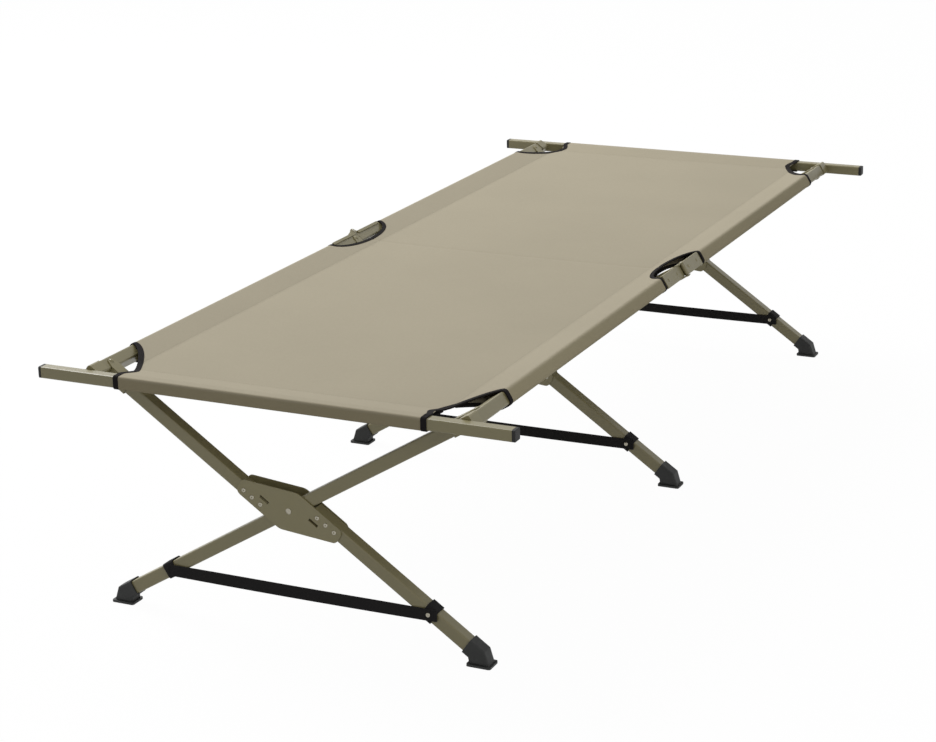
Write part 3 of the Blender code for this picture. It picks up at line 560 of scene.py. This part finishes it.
COLUMNS = columns()
ROWS = np.concatenate((
    (0, CREASE_HALF),
    np.linspace(0.018, SEAM_Y - 0.012, 58),          # the bed
    SEAM_Y + np.array(SEAM_STEPS),
    np.linspace(SEAM_Y + 0.012, BAR_Y - 0.016, 5),   # the climb
    np.linspace(BAR_Y - 0.012, BAR_Y, 6))) / BAR_Y   # the turn onto the end bar
print("grid of", len(COLUMNS), "columns and", len(ROWS), "rows for each half")

# %% [markdown]
# ## Waves, crease and climb
# Even a taut bed isn't flat: it hangs a little, long waves run through it, and it keeps a crease where it
# was folded. At the ends it climbs from the seam to the top of the end bar. The cloth hardly sags, so a
# simulation would add little. Two noises and a few curves give these shapes, and they fade out towards
# rails and bars.

# %% Folding the cut into place
HOLLOW = 0.0022               # how far the bed hangs in its middle
SLOW_WAVE, FINE_WAVE = 0.0009, 0.0004
CREASE = 0.0009               # depth of the crease where the bed folds in half
END_TOP = RAIL_Z + END_SLEEVE_HALF - CLOTH / 2


def ripple(x, y):
    """Height of the taut cloth's soft waves and of the crease across its middle."""
    edge = max(0.0, 1 - (abs(x) / SEAM_X) ** 2)
    end = max(0.0, 1 - (abs(y) / BAR_Y) ** 4)
    slow = noise.noise(Vector((x * 3.1, y * 1.7, 4.2)))   # about twice as long as wide
    fine = noise.noise(Vector((x * 9.0, y * 5.0, 1.7)))
    crease = -CREASE * max(0.0, 1 - abs(y) / CREASE_HALF)
    return -HOLLOW * edge * end + (SLOW_WAVE * slow + FINE_WAVE * fine) * edge ** 0.5 * end + crease


def end_rise(y):
    """How far the cloth climbs from its seam to the top of the end bar."""
    crest = BAR_Y - END_SLEEVE_HALF + END_SLEEVE_CORNER
    return (END_TOP - BED_Z) * min(1.0, max(0.0, (abs(y) - SEAM_Y) / (crest - SEAM_Y)))


def folded(u, y):
    """Place in space of a point on the flat cut."""
    x, z, outward = across_bed.at(u)
    on_top = max(0.0, outward.y) if abs(u) < BED_EDGE else 0.0
    out = ripple(x, y) * on_top
    return Vector((x + outward.x * out, y, z + outward.y * out + end_rise(y)))


print("the cloth climbs", round(1000 * (END_TOP - BED_Z), 1), "mm to the end bars")

# %% [markdown]
# ## From flat cut to cloth
# A sheet could be modelled where it hangs, but its weave would stretch there. So a grid is laid flat, its
# points are moved onto the cut, the flat place is kept as a UV map for the weave, and then every point is
# folded into place. A Solidify modifier gives the cloth its thickness, the same on both faces.

# %% A grid, laid flat and folded
def grid(wide, high, flat_place, fold_place):
    """Grid of this many points each way, laid out flat and then folded. Its UV map keeps the flat place."""
    bm = bmesh.new()
    bmesh.ops.create_grid(bm, x_segments=wide - 1, y_segments=high - 1, size=1)
    layer = bm.loops.layers.uv.new("cut")
    flat = {}
    for vert in bm.verts:
        i = round((vert.co.x + 1) / 2 * (wide - 1))
        j = round((vert.co.y + 1) / 2 * (high - 1))
        flat[vert.index] = flat_place(i, j)
    for face in bm.faces:
        for loop in face.loops:
            loop[layer].uv = flat[loop.vert.index]
    for vert in bm.verts:
        vert.co = fold_place(*flat[vert.index])
    return bm


# %% From mesh to piece
CREASE_ANGLE = math.radians(50)   # edges sharper than this are rounded


def shown(name, bm, material, thickness=None, edge=0.0, turn_out=True):
    """Object from a mesh, smooth, at the origin, with its finish."""
    if turn_out:
        bmesh.ops.recalc_face_normals(bm, faces=bm.faces[:])
    for edge_line in bm.edges:
        edge_line.smooth = not edge_line.is_boundary
    mesh = bpy.data.meshes.new(name)
    bm.to_mesh(mesh)
    bm.free()
    mesh.polygons.foreach_set("use_smooth", [True] * len(mesh.polygons))
    mesh.materials.append(material)
    piece = bpy.data.objects.new(name, mesh)
    bpy.context.scene.collection.objects.link(piece)
    if thickness:
        wall = piece.modifiers.new("thickness", "SOLIDIFY")
        wall.thickness = thickness
        wall.offset = 0
    if edge:
        round_off = piece.modifiers.new("soft_edge", "BEVEL")
        round_off.width = edge
        round_off.segments = 2
        round_off.limit_method = "ANGLE"
        round_off.angle_limit = CREASE_ANGLE
    return piece


# %% Bed cloth, one piece for each half
def flat_area(bm):
    """Area of the flat cut, read from the UV map."""
    layer = bm.loops.layers.uv["cut"]
    total = 0.0
    for face in bm.faces:
        corners = [loop[layer].uv for loop in face.loops]
        twice = sum(a.x * b.y - b.x * a.y for a, b in zip(corners, corners[1:] + corners[:1]))
        total += abs(twice) / 2
    return total


HALF_SIGN = {"near": -1, "far": 1}
beds = {}
for half, sign in HALF_SIGN.items():
    def flat_bed(i, j, sign=sign):
        y = crossing(COLUMNS[i], ROWS[j])
        return COLUMNS[i] * flare(y), sign * y

    bm = grid(len(COLUMNS), len(ROWS), flat_bed, folded)
    flat_area(bm)
    beds[half] = shown(f"bed_cloth_{half}", bm, bed_cloth.material, CLOTH, turn_out=False)

# %% [markdown]
# ## End sleeves
# At each end the cloth goes round the end bar and back under the bed to a seam. The bar unhooks when the
# bed is packed, so the cloth round it goes with the bar, and the hem that runs back to the seam goes with
# the bed. The two parts are made by the same loop, from one line round the bar.

# %% Cloth round the end bars
def end_belt():
    """Belt round an end bar, seen along the bar, as (along, height)."""
    half = END_SLEEVE_HALF - END_SLEEVE_CORNER
    radius = END_SLEEVE_CORNER - CLOTH / 2
    stops = [(BAR_Y, RAIL_Z + half, radius), (BAR_Y + half, RAIL_Z + half, radius),
             (BAR_Y + half, RAIL_Z - half, radius), (BAR_Y - half, RAIL_Z - half, radius),
             (SEAM_Y, UNDER_SEAM, 0)]
    return belt(stops)


END_LINE = end_belt()
END_LENGTH = run_of(END_LINE)
END_PARTS = {"cloth": (0.0, END_LENGTH[-2]), "hem": (END_LENGTH[-2], END_LENGTH[-1])}
END_SIGN = {"foot": -1, "head": 1}
END_COLUMNS, END_ROWS = 61, 24


def on_end_belt(distance):
    """Place (along, height) on the belt round the end bar."""
    return [float(np.interp(distance, END_LENGTH, column)) for column in END_LINE.T]


def end_fold(sign):
    """The fold of one end's cloth: from a point on its flat cut to its place in space."""
    def place(x, distance):
        y, z = on_end_belt(distance)
        return Vector((x, sign * y, z))

    return place


end_pieces = {}
for end, sign in END_SIGN.items():
    for part, (low, high) in END_PARTS.items():
        rows = sorted({d for d in END_LENGTH if low <= d <= high} | set(np.linspace(low, high, END_ROWS)))

        def flat_end(i, j, rows=rows):
            half_width = side_limit(on_end_belt(rows[j])[0])
            return half_width * (2 * i / (END_COLUMNS - 1) - 1), rows[j]

        bm = grid(END_COLUMNS, len(rows), flat_end, end_fold(sign))
        flat_area(bm)
        end_pieces[end, part] = shown(f"end_{part}_{end}", bm, end_cloth.material, CLOTH, turn_out=False)
print("end sleeves:", round(END_LENGTH[-1], 3), "m of cloth round each bar and back to the seam")

# %% [markdown]
# ## Bindings
# Black tape is folded over every raw edge. It could be painted on the cloth, but then the edge would look
# thin and hard. It is made as a narrow strip of the same cut, a little thicker than the cloth, so that it
# closes over the edge on both faces, and it is folded with the cloth.

# %% A strip of tape
TAPE = {"corner": 0.011, "end": 0.011, "mid": 0.0085}   # width of the tape that shows on each face
TAPE_THICKNESS = 0.0030
TAPE_ROUND = 0.0007           # radius of its folded edge
TAPE_OVER = 0.0012            # how far it stands past the raw edge
TAPE_ROWS = (0, 0.35, 0.7, 1)   # shares of its width


def binding(name, line, place, kind):
    """Tape along a line on the flat cut. Its inner side is on the left of the line."""
    line = [Vector(point) for point in line]
    normals = []
    for index in range(len(line)):
        run = (line[min(index + 1, len(line) - 1)] - line[max(index - 1, 0)]).normalized()
        normals.append(Vector((-run.y, run.x)))
    across = [share * TAPE[kind] - TAPE_OVER for share in TAPE_ROWS]

    def flat(i, j):
        return tuple(line[i] + normals[i] * across[j])

    bm = grid(len(line), len(across), flat, place)
    return shown(name, bm, binding_tape.material, TAPE_THICKNESS, TAPE_ROUND)


# %% Edges of the cut-outs
NOTCH_POINTS = 14             # points along each stretch of an edge
CORNER_POINTS = 26
MID_POINTS = 22
RAIL_POINTS = 19
END_POINTS = 28


def corner_curve():
    """Edge of a corner's cut-out, from the end bar to the rail, as (across, along)."""
    back = [((BED_EDGE - CORNER_X) * flare(y), y) for y in np.linspace(BAR_Y, NOTCH_Y, NOTCH_POINTS)]
    forth = [BED_EDGE - CORNER_X * share for share in np.linspace(1, 0, CORNER_POINTS)[1:]]
    return back + [(u, upper_limit(u)) for u in forth]


def mid_curve():
    """Edge of half the cut-out at a rail joint, from the joint's line to the rail, as (across, along)."""
    quarter = np.linspace(0, math.pi / 2, MID_POINTS)
    return [(BED_EDGE - MID_X * math.cos(angle), SLEEVE_MID * math.sin(angle)) for angle in quarter]


def cut_line(curve, side_sign, half_sign, forward_way):
    """A cut-out's edge on the flat cut: its curve, round the rail, and back below as far as the seam."""
    around = np.linspace(BED_EDGE, UNDER_EDGE, RAIL_POINTS)[1:]
    last = abs(across_bed.length[-1 if side_sign > 0 else 0])
    mirrored = [(BED_EDGE + UNDER_EDGE - u, y) for u, y in reversed(curve[:-1])]
    points = curve + [(u, curve[-1][1]) for u in around] + [point for point in mirrored if point[0] < last]
    points = [(side_sign * u, half_sign * y) for u, y in points]
    return points if forward_way else points[::-1]


print("a corner's edge has", len(corner_curve()), "points on each face")

# %% Black binding along every edge
SIDE_SIGN = {"left": -1, "right": 1}
bindings = {}
for half, half_sign in HALF_SIGN.items():
    for side, side_sign in SIDE_SIGN.items():
        for kind, curve in (("corner", corner_curve()), ("mid", mid_curve())):
            opposite = half_sign != side_sign    # each line runs so that the cloth lies on its left
            line = cut_line(curve, side_sign, half_sign, opposite if kind == "corner" else not opposite)
            bindings[half, side, kind] = binding(f"binding_{kind}_{side}_{half}", line, folded, kind)
for end, end_sign in END_SIGN.items():
    for side, side_sign in SIDE_SIGN.items():
        for part, (low, high) in END_PARTS.items():
            down = np.linspace(low, high, END_POINTS)
            line = [(side_sign * side_limit(on_end_belt(distance)[0]), distance) for distance in down]
            line = line[::side_sign]             # the left one runs back
            name = f"binding_{part}_{side}_{end}"
            bindings[end, side, part] = binding(name, line, end_fold(end_sign), "end")
print("bindings:", len(bindings))

# %% [markdown]
# ## Leg straps
# A strap keeps each pair of legs from sliding apart. Its ends are sewn into loops round the lower legs,
# and between them it hangs a little. Sweeping one profile along the whole strap would twist it at the
# loops. So the loops are square rings pulled tight round the tube, and the run is a flat ribbon. All three
# are grids like the bed's, so their weave follows them too.

# %% Places on the legs
STRAP_Z = 0.0865              # height of the strap
STRAP_WIDE = 0.022
STRAP_THICK = 0.0020
STRAP_SAG = 0.002             # how far its middle hangs
STRAP_LEAN = 0.0025           # how far its upper edge leans back there
STRAP_TAIL = 0.017            # past the rivet, to the leg's far edge
LOOP_LONG = 0.024             # length of a loop along the leg
LOOP_CORNER = 0.004
LEG_HALF = 0.0127             # half the leg's square tube
LEG_GAP = 0.0008              # the webbing stands off the tube
STRAP_ROWS = 5


def leg_frame(side, y):
    """Frame on the pivot of a leg plane: its X runs up the leg, its Y along the bed."""
    return Matrix.Translation((0, y, PIVOT_Z)) @ Matrix.Rotation(-RAIL_TURN[side], 4, "Y")


def leg_point(side, height):
    """Distance along the leg's frame, on the lower half, at this height."""
    if side == "right":
        return (height - PIVOT_Z) / math.sin(straight_angle)
    return (height - PIVOT_Z - HALF_OFFSET * math.cos(jogged_angle)) / math.sin(jogged_angle)


def strap_centre(side):
    """Middle of a strap's loop, in the leg's frame: how far up the leg, and how far off the pivot's line."""
    return leg_point(side, STRAP_Z), 0.0 if side == "right" else -HALF_OFFSET


print("straps hang", STRAP_Z, "m above the floor")


# %% Loops and ribbons
RIBBON_STEPS = 40


def strap_loop(side, y):
    """Ring of webbing round a lower leg."""
    start, offset = strap_centre(side)
    turn = leg_frame(side, y)
    half = LEG_HALF + LEG_GAP + STRAP_THICK / 2 - LOOP_CORNER
    ring = belt([(a * half, b * half, LOOP_CORNER) for a, b in
                 ((0, 1), (1, 1), (1, -1), (-1, -1), (-1, 1), (0, 1))])
    around = run_of(ring)

    def flat(i, j):
        return LOOP_LONG * (j / (STRAP_ROWS - 1) - 0.5), around[i]

    def place(along_leg, distance):
        along_bed, outwards = (np.interp(distance, around, column) for column in ring.T)
        return turn @ Vector((start + along_leg, along_bed, outwards + offset))

    bm = grid(len(ring), STRAP_ROWS, flat, place)
    bmesh.ops.remove_doubles(bm, verts=bm.verts[:], dist=1e-5)
    return bm


def strap_ribbon(low, high, front):
    """Flat run of webbing between two places across the bed, hanging and leaning a little."""
    def flat(i, j):
        return STRAP_WIDE * (j / (STRAP_ROWS - 1) - 0.5), (high - low) * i / RIBBON_STEPS

    def place(across, distance):
        share = 2 * distance / (high - low) - 1      # -1 and 1 at the ends
        lean = STRAP_LEAN * (1 - share ** 4) * (1 + 2 * across / STRAP_WIDE)
        return Vector((low + distance, front + lean, STRAP_Z + across - STRAP_SAG * (1 - share * share)))

    return grid(RIBBON_STEPS + 1, STRAP_ROWS, flat, place)


def joined(parts):
    """One bmesh out of several, which are used up."""
    whole = bmesh.new()
    whole.loops.layers.uv.new("cut")
    for part in parts:
        carrier = bpy.data.meshes.new("carrier")
        part.to_mesh(carrier)
        part.free()
        whole.from_mesh(carrier)
        bpy.data.meshes.remove(carrier)
    return whole


# %% Straps
straps = {}
strap_rivets = {}
for station, y in LEG_Y.items():
    centre = {}
    for side in ("left", "right"):
        start, offset = strap_centre(side)
        centre[side] = (leg_frame(side, y) @ Vector((start, 0, offset))).x
    front = y - LEG_HALF - LEG_GAP - STRAP_THICK * 1.5
    ribbon = strap_ribbon(centre["right"], centre["left"] + STRAP_TAIL, front)
    bm = joined([strap_loop("left", y), strap_loop("right", y), ribbon])
    straps[station] = shown(f"leg_strap_{station}", bm, webbing.material, STRAP_THICK, turn_out=False)
    strap_rivets[station] = (centre["left"], front - STRAP_THICK / 2, STRAP_Z)
print("straps:", len(straps))

# %% [markdown]
# ## Rivets
# Each closed rivet shows a low dome with a small hole in its middle, where its mandrel broke off. A
# profile of a few points, spun round its axis, gives the dome, and copies of it go to every place where
# the frame has one. They cover the plain heads of the frame. One piece holds all the domes on a plate's
# face, because they never move apart.

# %% Rivet domes
DOME_RADIUS = 0.0045
DOME_HEIGHT = 0.0019
DOME_ROOT = 0.0004            # how far a dome goes into what it sits on
DOME_STEPS = 20
DOME_PROFILE = ((0, 0.3), (0.26, 0.3), (0.34, 0.92), (0.5, 1), (0.78, 0.8), (0.95, 0.4), (1, 0))


def dome():
    """Mesh of one rivet dome on the origin, facing along +Z."""
    bm = bmesh.new()
    profile = [(DOME_RADIUS * out, DOME_HEIGHT * up) for out, up in DOME_PROFILE]
    profile += [(DOME_RADIUS, -DOME_ROOT), (0, -DOME_ROOT)]
    rim = [bm.verts.new((r, 0, z)) for r, z in profile]
    edges = [bm.edges.new(pair) for pair in zip(rim, rim[1:])]
    bmesh.ops.spin(bm, geom=rim + edges, cent=(0, 0, 0), axis=(0, 0, 1), angle=math.tau, steps=DOME_STEPS,
                   use_merge=True)
    bmesh.ops.remove_doubles(bm, verts=bm.verts[:], dist=1e-6)
    bmesh.ops.recalc_face_normals(bm, faces=bm.faces[:])
    mesh = bpy.data.meshes.new("dome")
    bm.to_mesh(mesh)
    bm.free()
    return mesh


def rivets(name, places):
    """One piece of several domes. Each place is a 4x4 matrix whose Z is the outward direction."""
    bm = bmesh.new()
    one = dome()
    for place in places:
        start = len(bm.verts)
        bm.from_mesh(one)
        bm.verts.ensure_lookup_table()
        bmesh.ops.transform(bm, matrix=place, verts=bm.verts[start:])
    bpy.data.meshes.remove(one)
    return shown(name, bm, steel.material, turn_out=False)


# %% Domes on the plates and on the straps
PLATE_FACE = {"front": -0.0153, "rear": 0.0156}   # from a leg set's middle plane to its plates' outer faces
FIRST_RIVET, RIVET_PITCH, RIVET_COUNT = 0.051, 0.0205, 3   # on each side of the main rivet
FACING = {"front": Matrix.Rotation(math.pi / 2, 4, "X"), "rear": Matrix.Rotation(-math.pi / 2, 4, "X")}
hardware = []
for station, y in LEG_Y.items():
    body = "left_far" if station == "far" else "left_near"
    turn = leg_frame("left", y)
    for face, out in PLATE_FACE.items():
        spots = [(half * (FIRST_RIVET + k * RIVET_PITCH), out, half * HALF_OFFSET)
                 for half in (1, -1) for k in range(RIVET_COUNT)]
        places = [turn @ Matrix.Translation(spot) @ FACING[face] for spot in spots]
        hardware.append((rivets(f"plate_rivets_{face}_{station}", places), body))
    place = Matrix.Translation(strap_rivets[station]) @ FACING["front"]
    hardware.append((rivets(f"strap_rivet_{station}", [place]), body))
print("rivet sets:", len(hardware))

# %% [markdown]
# ## Pieces on the moving frame
# Cloth and straps cross the scissor joint, between the bodies of the two sides, so they stay where they
# lie. Rivets and end sleeves ride on one body. Each soft piece stands for the plain solids that the
# imported model has in its place.

# %% The bed, baked where it lies
for half, end in (("near", "foot"), ("far", "head")):
    edging = [bindings[half, side, kind] for side in SIDE_SIGN for kind in ("corner", "mid")]
    edging += [bindings[end, side, "hem"] for side in SIDE_SIGN] + [end_pieces[end, "hem"]]
    for piece in [beds[half]] + edging:
        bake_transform(piece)
    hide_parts(f"bed_panel_{half}", f"sleeve_left_{half}", f"sleeve_right_{half}")
    width = COLUMNS[-1] - COLUMNS[0]

# %% End sleeves, straps and rivets
for end in END_SIGN:
    tapes = [bindings[end, side, "cloth"] for side in SIDE_SIGN]
    sleeve = end_pieces[end, "cloth"]
    for piece in [sleeve] + tapes:
        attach(piece, f"{end}_bar")
    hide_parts(f"end_sleeve_{end}")
# The legs cross, so the left side's feet stand on the right.
for station, piece in straps.items():
    half = "far" if station == "far" else "near"
    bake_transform(piece)
    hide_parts(f"strap_{station}")
for piece, body in hardware:
    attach(piece, body)

# %% [markdown]
# ## Studio
# The photograph is a catalogue picture: white all round, soft light from above and no hard shadows. White
# walls and a bright room would do it, but they wash out the colours. So only what the camera sees of
# floor and room is plain white, also in a reflection. The light that falls on the bed is dimmer, and a
# trace of its shadow stays.

# %% Floor
FLOOR_HALF = 12               # half its width
FLOOR_GREY = (0.45, 0.45, 0.45)
SHADOW_LEFT = 0.025           # share of the floor's real shade that the camera sees


def seen_ray(tree):
    """1 for a ray from the camera, also in a reflection or through glass. 0 for light on things."""
    rays = tree.nodes.new("ShaderNodeLightPath")
    seen = Wire(tree, rays.outputs["Is Camera Ray"])
    for kind in ("Is Glossy Ray", "Is Transmission Ray"):
        seen = seen.maths("MAXIMUM", seen, Wire(tree, rays.outputs[kind]))
    return seen


bm = bmesh.new()
bmesh.ops.create_grid(bm, x_segments=1, y_segments=1, size=FLOOR_HALF)
floor_finish = Finish("studio_floor", (1, 1, 1), 0.9)
tree = floor_finish.tree
seen = seen_ray(tree)
floor_finish.tint(seen, FLOOR_GREY, (1, 1, 1))
shaded = Wire(tree, floor_finish.shader.outputs[0])
plain_white = floor_finish.add("Emission", sockets={"Color": (1, 1, 1, 1), "Strength": 1.0})
mixed = floor_finish.add("MixShader", sockets={0: seen * (1 - SHADOW_LEFT), 1: shaded, 2: plain_white})
tree.links.new(mixed.socket, tree.nodes["Material Output"].inputs["Surface"])
floor = shown("studio_floor", bm, floor_finish.material)
print("floor laid,", 2 * FLOOR_HALF, "m square")

# %% World
ROOM_LIGHT = 0.36             # the room's own strength, where 1 is white
world = bpy.data.worlds.new("studio")
bpy.context.scene.world = world
world.use_nodes = True
room = world.node_tree
room.nodes.clear()
background = room.nodes.new("ShaderNodeBackground")
background.inputs["Color"].default_value = (1, 1, 1, 1)
plug(room, background.inputs["Strength"], seen_ray(room) * (1 - ROOM_LIGHT) + ROOM_LIGHT)
room.links.new(background.outputs[0], room.nodes.new("ShaderNodeOutputWorld").inputs["Surface"])
print("the room lights the bed at", ROOM_LIGHT)

# %% Lamps
# Each has its name, its place, the place that it points at, its width in metres and its power in watts.
LAMPS = (("upper_left", (-4.6, 1.8, 5.2), (0, 0, 0.3), 4.4, 455),
         ("front_right", (2.9, -2.2, 1.7), (0.3, -0.8, 0.3), 1.2, 15))
for name, spot, target, size, power in LAMPS:
    light = bpy.data.lights.new(name, "AREA")
    light.shape = "SQUARE"
    light.size = size
    light.energy = power
    lamp = bpy.data.objects.new(name, light)
    bpy.context.scene.collection.objects.link(lamp)
    lamp.location = spot
    lamp.rotation_euler = (Vector(target) - Vector(spot)).to_track_quat("-Z", "Y").to_euler()
bpy.context.scene.view_settings.view_transform = "Standard"
print("studio lit by", len(LAMPS), "lamps")
